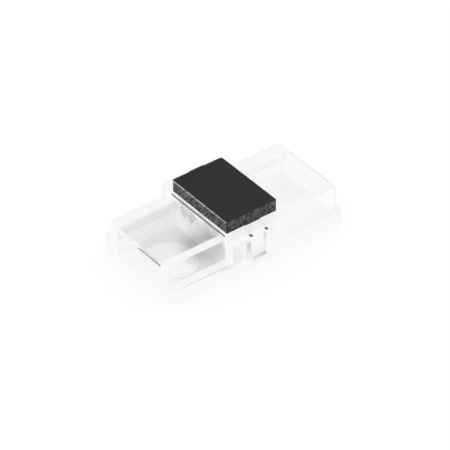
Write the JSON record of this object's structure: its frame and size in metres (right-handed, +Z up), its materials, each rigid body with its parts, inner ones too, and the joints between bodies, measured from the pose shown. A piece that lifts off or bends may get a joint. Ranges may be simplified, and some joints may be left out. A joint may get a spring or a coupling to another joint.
{
  "type": "led strip connector",
  "caption": "Clear solderless LED strip connector: strip slots in both ends, a collar with snap tongues, and a raised black pin block that presses stamped contacts onto the strips.",
  "frame": {"origin": "middle of the underside of the clear body", "axes": "+X along the strips, +Z up out of the underside towards the raised block, +Y across the strips to complete a right-handed frame"},
  "size_m": [0.025, 0.0136, 0.0067],
  "materials": {
    "clear_body": "clear moulded polycarbonate, polished",
    "black_block": "black moulded plastic, fine grain",
    "contact_metal": "stamped sheet, tin plated"
  },
  "bodies": {
    "housing": {"body": "clear_body"},
    "press_block": {"pin_block": "black_block", "contact_front": "contact_metal", "contact_back": "contact_metal"}
  },
  "joints": [
    {"name": "block_press", "type": "slide", "parent": "housing", "child": "press_block", "axis": [0, 0, -1], "range_m": [0, 0.0014]}
  ]
}
